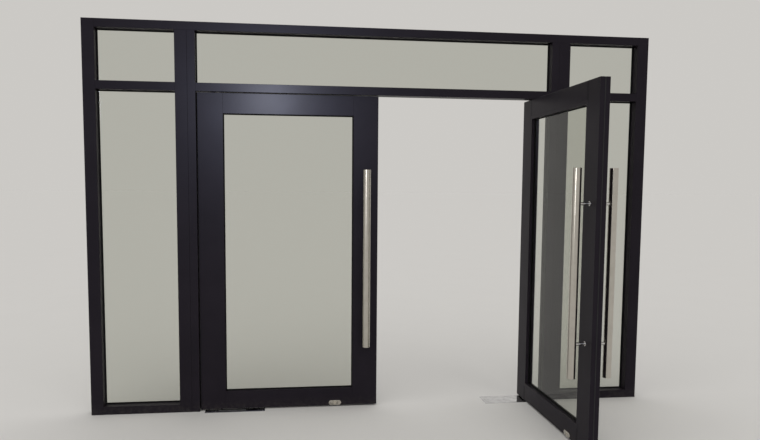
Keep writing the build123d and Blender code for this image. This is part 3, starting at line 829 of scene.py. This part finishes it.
@dataclass
class CoverPlates:
    """The two floor plates over the floor springs: bevelled sheet, spindle hole and four screws each.

    The screw's profile has rows of radius, share of the cross recess, and height over the plate. Turn
    steps are how far the crosses turn from screw to screw along, across and from plate to plate.
    """

    heel: float = 0.078
    length: float = 0.400
    width: float = 0.160
    thickness: float = 0.0015
    corner: float = 0.004
    corner_points: int = 7
    edge_parts: int = 9
    bevel: float = 0.0004
    hole: float = 0.022
    screw_inset: float = 0.014
    screw_points: int = 48
    screw_profile: tuple[Triple, ...] = (
        (0.0042, 0.0, -0.0004), (0.0042, 0.0, 0.0001), (0.00357, 0.0, 0.0004),
        (0.0, 1.0, 0.00045), (0.0, 0.85, -0.0004), (0.000042, 0.0, -0.0006),
    )
    cross_core: float = 0.000672
    cross_arm: float = 0.001764
    first_turn: float = 0.4
    turn_steps: Triple = (1.0, 0.7, 0.3)

    def outline(self, inset: float) -> np.ndarray:
        """Rounded rectangle seen from the spindle's hole.

        Each corner is a quarter circle about a point that lies inside by the corner's radius; the inset
        moves the whole line inwards. The straight edges are cut into equal parts.

        Args:
            inset: Distance inside the plate's edge.

        Returns:
            Rows of distance along the plate and across it.
        """
        near, far = self.corner - self.heel, self.length - self.heel - self.corner
        half = self.width / 2 - self.corner
        centres = np.array([(far, half), (near, half), (near, -half), (far, -half)])
        angle = np.linspace(0, QUARTER_TURN, self.corner_points) + np.arange(4)[:, None] * QUARTER_TURN
        arcs = (self.corner - inset) * np.stack([np.cos(angle), np.sin(angle)], axis=-1)
        corners = centres[:, None, :] + arcs
        share = np.linspace(0, 1, self.edge_parts, endpoint=False)[1:, None]
        starts, stops = corners[:, -1:], np.roll(corners[:, :1], -1, axis=0)
        return np.concatenate([corners, starts + (stops - starts) * share], axis=1).reshape(-1, 2)

    def rings(self, side: int) -> np.ndarray:
        """The plate's skin from the underside's edge over the top face and down the spindle's hole.

        Each point of the hole is r (cos a, sin a), where a is the angle of the edge's point.

        Args:
            side: -1 for the left plate and 1 for the right one.

        Returns:
            Rings by points by 3, which join round to the first.
        """
        edge = self.outline(0.0)
        angle = np.arctan2(edge[:, 1], edge[:, 0])
        circle = np.stack([np.cos(angle), np.sin(angle)], axis=-1)
        shoulder = self.thickness - self.bevel
        along, across, height = levelled([
            (edge, 0.0),
            (edge, shoulder),
            (self.outline(self.bevel), self.thickness),
            (circle * (self.hole + self.bevel), self.thickness),
            (circle * self.hole, shoulder),
            (circle * self.hole, 0.0),
        ])
        return np.stack([side * (PIVOT - along), across, height], axis=-1)

    def screw(self, x: float, y: float, turn: float) -> np.ndarray:
        """Raised countersunk head with a cross recess.

        The recess's radius at angle a is cross_core + cross_arm * |cos 2 (a - turn)| ** 8.

        Args:
            x: Place of the screw.
            y: Place of the screw.
            turn: How far the cross is turned, in radians.

        Returns:
            Rings by points by 3.
        """
        angle = np.arange(self.screw_points) * FULL_TURN / self.screw_points
        recess = self.cross_core + self.cross_arm * np.abs(np.cos(2 * (angle - turn))) ** 8
        across, deep, up = recessed(self.screw_profile, recess)
        return np.stack([x + across, y + deep, self.thickness + up], axis=-1)

    def build(self) -> list[bpy.types.Object]:
        """Builds both plates and their screws.

        Returns:
            The plates' piece and the screws' piece.
        """
        plates, screws = Shell(), Shell()
        ends = (self.screw_inset - self.heel, self.length - self.heel - self.screw_inset)
        half = self.width / 2 - self.screw_inset
        for side in (-1, 1):
            plates.add(self.rings(side), looped=True)
            for number, along in enumerate(ends):
                for across in (-1, 1):
                    turn = self.first_turn + np.dot(self.turn_steps, (number, across, side))
                    screws.add(self.screw(side * (PIVOT - along), across * half, turn))
        plate_piece = plates.piece("floor_plates", Finish.PLATE_STEEL.material())
        screw_piece = screws.piece("floor_plate_screws", Finish.SCREW_STEEL.material())
        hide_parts("floor_cover_plates")
        for made in (plate_piece, screw_piece):
            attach(made, "frame")
        return [plate_piece, screw_piece]


@dataclass
class LeafFitting:
    """What all fittings of a leaf share."""

    leaf: Panel
    body: str

    @property
    def side_name(self) -> str:
        """The side that the names of the leaf's solids begin with."""
        return self.body.split("_")[0]

    def on_face(self, side: int, along: Distances, out: Distances, height: Distances) -> np.ndarray:
        """Points so far out from the leaf's face, in front of it for side -1 and behind it for 1."""
        return self.leaf.place(along, side * (LEAF_FACE + out), height)


@dataclass
class PullHandles(LeafFitting):
    """A leaf's two pull handles: capped tubes on posts with roses, and the grub screws in the posts.

    The groove has rows of radius over the cap's seam and height over the tube's end, and the neck rows
    of radius over the post's and height over the rose. The grub screw's profile has rows of radius,
    share of the socket, and height.
    """

    place: float = 1.006
    bottom: float = 0.432
    length: float = 1.200
    radius: float = 0.02492
    standoff: float = 0.080
    wall: float = 0.0015
    rim: float = 0.0011
    groove: tuple[Pair, ...] = ((0.0001, 0.0), (0.0, -0.0008), (-0.0004, -0.0008), (-0.0006, -0.0002))
    rim_margin: float = 0.0003
    wall_rings: int = 9
    tube_points: int = 72
    post_radius: float = 0.009
    post_heights: Pair = (0.632, 1.432)
    post_points: int = 48
    post_rings: Pair = (0.020, 0.048)
    let_in: float = 0.0002
    rose_radius: float = 0.0135
    rose_thickness: float = 0.003
    rose_rim: float = 0.0008
    rose_centre: float = 0.0002
    neck: tuple[Pair, ...] = ((0.0012, 0.0), (0.0004, 0.0005), (0.0, 0.0015))
    grub_profile: tuple[Triple, ...] = (
        (0.0024, 0.0, -0.0016), (0.0024, 0.0, 0.0), (0.0021, 0.0, 0.0003),
        (0.0, 1.0, 0.0003), (0.0, 1.0, -0.0012), (0.00002, 0.0, -0.0013),
    )
    grub_out: float = 0.014
    grub_sunk: float = 0.0001
    socket: float = 0.00125

    def tube_profile(self) -> np.ndarray:
        """Half section of a tube: cap, hairline groove at the cap, rounded rim and long wall.

        Returns:
            Rows of radius and height from the middle of the lower cap to the middle of the upper cap.
        """
        groove = np.array(self.groove) + (self.radius - self.wall, self.length)
        rim = rounded_rim(self.radius, self.length, self.rim)
        upper = np.concatenate([rim, groove, [(0.0, groove[-1, 1])]])
        lower = (upper * (1, -1) + (0, self.length))[::-1]
        held = self.rim + self.rim_margin
        heights = np.linspace(held, self.length - held, self.wall_rings)
        return np.concatenate([lower, np.column_stack([np.full_like(heights, self.radius), heights]), upper])

    def tube(self, side: int) -> np.ndarray:
        """Rings of one tube."""
        across, deep, up = turned(self.tube_profile(), self.tube_points)
        return self.on_face(side, self.place + across, self.standoff + side * deep, self.bottom + up)

    def post(self, side: int, height: float) -> np.ndarray:
        """Rings of one post, from its rose to the tube.

        The last ring is let into the tube's skin: at angle a it stands
        standoff + let_in - sqrt(R ** 2 - (r cos a) ** 2) from the leaf's face.

        Args:
            side: -1 in front of the leaf and 1 behind it.
            height: Height of the post.

        Returns:
            Rings by points by 3.
        """
        foot = [(self.rose_centre, 0.0), (self.rose_radius, 0.0)]
        rose = rounded_rim(self.rose_radius, self.rose_thickness, self.rose_rim)
        neck = np.array(self.neck) + (self.post_radius, self.rose_thickness)
        shaft = [(self.post_radius, out) for out in (*self.post_rings, self.standoff)]
        across, up, out = turned(np.concatenate([foot, rose, neck, shaft]), self.post_points)
        out[-1] = self.standoff + self.let_in - np.sqrt(self.radius**2 - across[-1] ** 2)
        return self.on_face(side, self.place + across, out, height + up)

    def grub_screw(self, side: int, height: float) -> np.ndarray:
        """Hexagon socket screw under a post.

        The socket's radius at angle a is s / cos(((a + 30 deg) mod 60 deg) - 30 deg), with s half its width.

        Args:
            side: -1 in front of the leaf and 1 behind it.
            height: Height of the post.

        Returns:
            Rings by points by 3.
        """
        angle = np.arange(self.post_points) * FULL_TURN / self.post_points
        sixth = FULL_TURN / 6
        recess = self.socket / np.cos((angle + sixth / 2) % sixth - sixth / 2)
        across, out, drop = recessed(self.grub_profile, recess)
        low = height - self.post_radius - drop + self.grub_sunk
        return self.on_face(side, self.place + across, self.grub_out + out, low)

    def build(self) -> list[bpy.types.Object]:
        """Builds the handles.

        Returns:
            The pieces: tubes, posts and screws.
        """
        tubes, posts, screws = Shell(), Shell(), Shell()
        for side in (-1, 1):
            tubes.add(self.tube(side))
            for height in self.post_heights:
                posts.add(self.post(side, height))
                screws.add(self.grub_screw(side, height))
        made = [
            tubes.piece(f"{self.body}_pull_tubes", Finish.TUBE_STEEL.material()),
            posts.piece(f"{self.body}_posts_and_roses", Finish.POST_STEEL.material()),
            screws.piece(f"{self.body}_grub_screws", Finish.SCREW_STEEL.material()),
        ]
        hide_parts(f"{self.side_name}_pull_bars")
        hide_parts(f"{self.side_name}_pull_posts")
        for piece in made:
            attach(piece, self.body)
        return made


@dataclass
class Escutcheons(LeafFitting):
    """The two oval plates round a leaf's lock cylinder, with a rounded rim and a sunk ring.

    The ring's profile has rows of radius over the hole's and height over the plate's face.
    """

    place: float = 0.800
    height: float = 0.028
    length: float = 0.086
    width: float = 0.034
    thickness: float = 0.004
    rim: float = 0.0014
    rim_rings: int = 6
    hole: float = 0.0071
    ring_profile: tuple[Pair, ...] = ((0.0035, 0.0), (0.0029, -0.0006), (0.0004, -0.0006), (0.0, -0.001))
    points: int = 96

    def loop(self, inset: float, angle: np.ndarray) -> np.ndarray:
        """Oval line: two half circles whose centres stand apart by length - width, moved inwards.

        Args:
            inset: Distance inside the edge.
            angle: Angles of the points.

        Returns:
            Rows of distance along the leaf and height.
        """
        radius = self.width / 2 - inset
        centre = np.sign(np.cos(angle)) * (self.length - self.width) / 2
        return np.stack([centre + radius * np.cos(angle), radius * np.sin(angle)], axis=-1)

    def rings(self, side: int) -> np.ndarray:
        """Skin of one plate, round its rim, over its face and down its hole.

        Point j of every loop is at angle 2 pi (j + 1/2) / points.

        Args:
            side: -1 in front of the leaf and 1 behind it.

        Returns:
            Rings by points by 3, which join round to the first.
        """
        angle = (np.arange(self.points) + 0.5) * FULL_TURN / self.points
        circle = np.stack([np.cos(angle), np.sin(angle)], axis=-1)
        rim = rounded_rim(0.0, self.thickness, self.rim, self.rim_rings)
        loops = [(self.loop(0.0, angle), 0.0), *((self.loop(-out, angle), up) for out, up in rim)]
        loops += [(circle * (self.hole + out), self.thickness + up) for out, up in self.ring_profile]
        loops.append((circle * self.hole, 0.0))
        along, height, out = levelled(loops)
        return self.on_face(side, self.place + along, out, self.height + height)

    def build(self) -> bpy.types.Object:
        """Builds both plates as one piece.

        Returns:
            The piece.
        """
        shell = Shell()
        for side in (-1, 1):
            shell.add(self.rings(side), looped=True)
        made = shell.piece(f"{self.body}_oval_plates", Finish.SATIN_CHROME.material(), sharp=40.0)
        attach(made, self.body)
        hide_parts(f"{self.side_name}_escutcheons")
        return made


@dataclass
class BrushSeals(LeafFitting):
    """Brush seals of a leaf: dense pile with an uneven tip, in the meeting edge and over the top rail."""

    free_edge: float = 1.090
    near: float = 0.038
    far: float = 0.944
    foot: float = 0.013
    meeting_top: float = 2.121
    section: tuple[float, ...] = (-1.0, -1.0, -0.8, -0.45, 0.0, 0.45, 0.8, 1.0, 1.0)
    half_width: float = 0.0023
    sunk: float = 0.0045
    meeting_reach: float = 0.0016
    head_reach: float = 0.005
    crown: float = 0.22
    uneven: float = 0.2
    lean: float = 0.06
    meeting_seed: int = 11
    head_seed: int = 12

    def strip(self, length: float, reach: float, seed: int) -> tuple[np.ndarray, np.ndarray, np.ndarray]:
        """Section of the pile carried along its length.

        At the tip, height = reach * (1 - crown * w ** 2 - uneven * n), with w from -1 to 1 across the
        pile and n seeded noise by tuft, which also spreads the tip: half_width * w * (1 - lean + lean * n).

        Args:
            length: Length of the strip.
            reach: How far the pile stands out.
            seed: Seed of the tufts' noise.

        Returns:
            Distance along, across and out, each an array of rings by points.
        """
        count = int(length / TUFT)
        across = np.array(self.section)
        tip = np.ones(len(across), dtype=bool)
        tip[[0, -1]] = False
        tufts = np.random.default_rng(seed).random((count, len(across)))
        out = np.where(tip, reach * (1 - self.crown * across**2 - self.uneven * tufts), -self.sunk)
        spread = across * self.half_width * (1 - self.lean + self.lean * np.where(tip, tufts, 0.0))
        return np.linspace(0, length, count)[:, None] + np.zeros_like(out), spread, out

    def build(self) -> bpy.types.Object:
        """Builds both strips as one piece.

        Returns:
            The piece.
        """
        shell = Shell()
        up, across, out = self.strip(self.meeting_top - self.foot, self.meeting_reach, self.meeting_seed)
        shell.add(self.leaf.place(self.free_edge + out, across, self.foot + up))
        along, across, out = self.strip(self.far - self.near, self.head_reach, self.head_seed)
        shell.add(self.leaf.place(self.near + along, across, LEAF_TOP + out))
        made = shell.piece(f"{self.body}_brush_pile", Finish.PILE.material(), sharp=25.0)
        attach(made, self.body)
        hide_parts(f"{self.side_name}_brushes")
        return made


@dataclass
class HeelSeals:
    """Brush strips on the door jambs' faces, which close the gaps beside the leaves' round heels."""

    foot: float = 0.012
    half_width: float = 0.0045
    carrier: float = 0.0008
    reach: float = 0.0034
    pile_share: float = 0.62
    pile_points: int = 9
    uneven: float = 0.0006
    seed: int = 21

    def section(self) -> tuple[np.ndarray, np.ndarray]:
        """Half-round tuft on a flat carrier.

        The tuft: out = carrier + (reach - carrier) * (1 - w ** 4), with w from -1 to 1 across it.

        Returns:
            Distances across the strip and out of the jamb.
        """
        share = np.linspace(-1, 1, self.pile_points)
        pile = self.carrier + (self.reach - self.carrier) * (1 - share**4)
        foot = [self.half_width] * 2
        across = np.concatenate([np.negative(foot), self.pile_share * self.half_width * share, foot])
        return across, np.concatenate([[0.0, self.carrier], pile, [self.carrier, 0.0]])

    def build(self) -> bpy.types.Object:
        """Builds both strips as one piece, each tuft a little longer or shorter than the next.

        Returns:
            The piece.
        """
        shell = Shell()
        across, out = self.section()
        count = int((LEAF_TOP - self.foot) / TUFT)
        tufts = np.random.default_rng(self.seed).random((count, len(out)))
        trimmed = np.where(out > self.carrier, out - self.uneven * tufts, out)
        height = np.linspace(self.foot, LEAF_TOP, count)[:, None] + np.zeros_like(out)
        depth = np.broadcast_to(across, trimmed.shape)
        for side in (-1, 1):
            shell.add(np.stack([side * (HALF_OPENING - trimmed), depth, height], axis=-1))
        made = shell.piece("heel_brush_strips", Finish.PILE.material(), sharp=25.0)
        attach(made, "frame")
        return made


@dataclass
class Leaf:
    """One door leaf: its profiles, glass, handles, lock and seals."""

    side: str
    panel: Panel
    paint: PowderCoat = PowderCoat()
    near_sight: float = 0.060
    far_sight: float = 0.922
    glass_low: float = 0.130
    glass_high: float = 1.992
    nose_back: float = -0.008
    bead_front: float = 0.008

    def joint_places(self) -> Ends:
        """Axis of the leaf's rails and the places of their joints with the stiles."""
        ends = [self.panel.place(sight, 0.0, 0.0) for sight in (self.near_sight, self.far_sight)]
        axis = int(np.argmax(np.abs(ends[1] - ends[0])))
        return axis, *sorted(float(end[axis]) for end in ends)

    def dress(self, nodes: dict[str, bpy.types.Object]) -> list[bpy.types.Object]:
        """Gives the leaf's solids their finishes.

        Args:
            nodes: The solids by name.

        Returns:
            The painted solids.
        """
        joints = dict.fromkeys(("top_rail", "bottom_rail"), self.joint_places())
        parts = ("pivot_stile", "meeting_stile", *joints, "leaf_beads")
        for part in parts:
            name = f"{self.side}_{part}"
            finish(nodes[name], self.paint.material(f"{name}_paint", joints.get(part)))
        plain = {
            "corner_cleats": Finish.MILL_ALUMINIUM,
            "pivot_arms": Finish.PLAIN_STEEL,
            "lock_case": Finish.CASTING,
            "lock_plug": Finish.CYLINDER_NICKEL,
            "floor_bolt": Finish.PLAIN_STEEL,
        }
        for part, choice in plain.items():
            finish(nodes[f"{self.side}_{part}"], choice.material())
        glaze(nodes[f"{self.side}_leaf_glass"])
        return [nodes[f"{self.side}_{part}"] for part in parts]

    def build(self) -> list[bpy.types.Object]:
        """Builds the leaf's finer pieces.

        Returns:
            The pieces.
        """
        body = f"{self.side}_leaf"
        sights = (self.near_sight, self.far_sight, self.glass_low, self.glass_high)
        opening = Opening(*sights, self.nose_back, self.bead_front)
        pieces = [Glazing(self.panel, [opening], body, f"{self.side}_leaf_rubbers").build()]
        pieces += PullHandles(self.panel, body).build()
        pieces += [Escutcheons(self.panel, body).build(), BrushSeals(self.panel, body).build()]
        return pieces


# Studio
class LampKind(Enum):
    """Kinds of lamp."""

    BROAD = "broad"
    PAINT_DISC = "paint disc"
    SOFT_PANEL = "soft panel"


@dataclass(frozen=True)
class Lamp:
    """One soft lamp that faces a point.

    A broad lamp's size is the angle that it spans, in radians, and it lights everything evenly. The
    size of the other two is their diameter, and they show only as gloss: the disc on the paint, the
    soft panel on the fittings.
    """

    name: str
    kind: LampKind
    place: Triple
    target: Triple
    size: float
    power: float
    colour: Colour = WHITE

    def hang(self, glossed: list[bpy.types.Object]) -> None:
        """Puts the lamp into the scene.

        Args:
            glossed: The objects whose gloss alone shows the lamp. A broad lamp lights everything.
        """
        broad = self.kind is LampKind.BROAD
        data = bpy.data.lights.new(self.name, "SUN" if broad else "AREA")
        if broad:
            data.angle = self.size
        else:
            data.shape = "DISK"
            data.size = self.size
        data.energy = self.power
        data.color = self.colour
        lamp = linked(self.name, data)
        lamp.visible_camera = False
        lamp.visible_transmission = False
        lamp.visible_diffuse = broad
        lamp.visible_glossy = not broad
        back = np.array(self.place) - np.array(self.target)
        back /= np.linalg.norm(back)
        right = np.cross((0.0, 0.0, 1.0), back)
        right /= np.linalg.norm(right)
        lamp.matrix_world = frame_matrix(right, np.cross(back, right), back, np.array(self.place))
        if not broad:
            lit = bpy.data.collections.new(f"{self.name}_shows_on")
            for thing in glossed:
                lit.objects.link(thing)
            lamp.light_linking.receiver_collection = lit


def frame_matrix(right: np.ndarray, up: np.ndarray, back: np.ndarray, place: np.ndarray) -> Matrix:
    """Matrix whose columns are the three axes and the place.

    Args:
        right: X axis.
        up: Y axis.
        back: Z axis.
        place: Origin.

    Returns:
        The 4 by 4 matrix.
    """
    columns = np.eye(4)
    columns[:3] = np.stack([right, up, back, place], axis=-1)
    return Matrix(columns.tolist())


@dataclass
class Studio:
    """Plain pale floor, soft lamps and an even pale surround."""

    floor_size: float = 400.0
    floor_drop: float = 0.0002
    surround: Colour = (0.600, 0.585, 0.560)
    surround_light: float = 0.52
    lamps: tuple[Lamp, ...] = (
        Lamp("broad_front", LampKind.BROAD, (-1.2, -3.0, 3.2), (0.0, 0.0, 1.0), math.radians(95.0), 1.25),
        Lamp("broad_back", LampKind.BROAD, (1.4, 3.0, 3.4), (0.0, 0.0, 1.0), math.radians(95.0), 0.80),
        Lamp("soft_panel", LampKind.SOFT_PANEL, (-3.2, -4.6, 1.7), (-0.1, 0.0, 1.2), 1.2, 20.0),
        Lamp(
            "ceiling_disc",
            LampKind.PAINT_DISC,
            (-0.80, -5.58, 2.76),
            (-0.66, 0.0, 2.05),
            0.30,
            270.0,
            (0.80, 0.83, 1.0),
        ),
    )

    def lay_floor(self) -> None:
        """Lays the floor, a flat sheet just under the door."""
        half = self.floor_size / 2
        corners = [(x * half, y * half, -self.floor_drop) for x, y in ((-1, -1), (1, -1), (1, 1), (-1, 1))]
        mesh = bpy.data.meshes.new("studio_floor")
        mesh.from_pydata(corners, [], [(0, 1, 2, 3)])
        mesh.materials.append(StudioFloor().material("studio_floor"))
        linked("studio_floor", mesh)

    def light_surround(self) -> None:
        """Makes the world: a plain tone where it is seen, and an even soft light elsewhere."""
        world = bpy.data.worlds.new("surround")
        bpy.context.scene.world = world
        graph = Graph(world)
        rays = graph.node("ShaderNodeLightPath").outputs
        seen = Signal(graph, rays["Is Camera Ray"])
        for kind in ("Is Glossy Ray", "Is Transmission Ray"):
            seen = seen.most(Signal(graph, rays[kind]))
        light, tone = (
            graph.node("ShaderNodeBackground", {}, {"Strength": strength, "Color": (*colour, 1.0)})
            for strength, colour in ((self.surround_light, WHITE), (1.0, self.surround))
        )
        mixed = graph.node("ShaderNodeMixShader", {}, {0: seen, 1: light.outputs[0], 2: tone.outputs[0]})
        graph.node("ShaderNodeOutputWorld", {}, {"Surface": mixed.outputs[0]})

    def build(self, painted: list[bpy.types.Object], fittings: list[bpy.types.Object]) -> None:
        """Sets up the floor, the surround, the lamps and the colour view.

        Args:
            painted: The painted solids, whose gloss shows the disc.
            fittings: The pieces whose gloss shows the soft panel.
        """
        self.lay_floor()
        self.light_surround()
        for lamp in self.lamps:
            lamp.hang(painted if lamp.kind is LampKind.PAINT_DISC else fittings)
        bpy.context.scene.view_settings.view_transform = "Standard"


@dataclass(frozen=True)
class PhotographCamera:
    """The camera of the photograph, fitted to the door's edges.

    Focal length and principal point are in pixels of the photograph, angles are in radians, and the
    sensor's width is in millimetres.
    """

    focal: float = 695.31
    yaw: float = 0.12994
    pitch: float = 0.08547
    roll: float = 0.00670
    place: Triple = (-0.66985, -4.72914, 1.51738)
    middle: Pair = (369.665, 246.557)
    sensor: float = 36.0
    clip_start: float = 0.05
    clip_end: float = 200.0

    def build(self) -> None:
        """Makes the camera and gives it the scene's view."""
        cos_yaw, sin_yaw = math.cos(self.yaw), math.sin(self.yaw)
        cos_pitch, sin_pitch = math.cos(self.pitch), math.sin(self.pitch)
        cos_roll, sin_roll = math.cos(self.roll), math.sin(self.roll)
        ahead = np.array([sin_yaw * cos_pitch, cos_yaw * cos_pitch, -sin_pitch])
        right = np.array([cos_yaw, -sin_yaw, 0.0])
        up = np.cross(right, ahead)
        data = bpy.data.cameras.new("photograph_camera")
        data.sensor_fit = "HORIZONTAL"
        data.sensor_width = self.sensor
        data.lens = self.focal * self.sensor / PHOTO_WIDTH
        data.shift_x = (PHOTO_WIDTH / 2 - self.middle[0]) / PHOTO_WIDTH
        data.shift_y = (self.middle[1] - PHOTO_HEIGHT / 2) / PHOTO_WIDTH
        data.clip_start = self.clip_start
        data.clip_end = self.clip_end
        camera = linked("photograph_camera", data)
        rolled = cos_roll * right + sin_roll * up, cos_roll * up - sin_roll * right
        camera.matrix_world = frame_matrix(*rolled, -ahead, np.array(self.place))
        bpy.context.scene.camera = camera


def report(pieces: list[bpy.types.Object]) -> None:
    """Logs each piece with its number of faces."""
    for piece in pieces:
        LOG.info("%s: %d faces", piece.name, len(piece.data.polygons))


def main() -> None:
    """Dresses the door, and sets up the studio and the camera."""
    logging.basicConfig(level=logging.INFO, format="%(name)s %(message)s")
    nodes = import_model()["nodes"]
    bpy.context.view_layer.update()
    screen = Screen()
    painted = screen.dress(nodes)
    report([Glazing(Panel(), screen.openings(), "frame", "frame_rubbers").build(), HeelSeals().build()])
    fittings = CoverPlates().build()
    leaves = (
        Leaf("left", Panel((-PIVOT, 0.0, 0.0), (1.0, 0.0, 0.0), (0.0, 1.0, 0.0))),
        Leaf("right", Panel((PIVOT, 0.0, 0.0), (0.0, -1.0, 0.0), (-1.0, 0.0, 0.0))),
    )
    for leaf in leaves:
        painted += leaf.dress(nodes)
        fittings += leaf.build()
    report(fittings)
    Studio().build(painted, fittings)
    PhotographCamera().build()


if __name__ == "__main__":
    main()
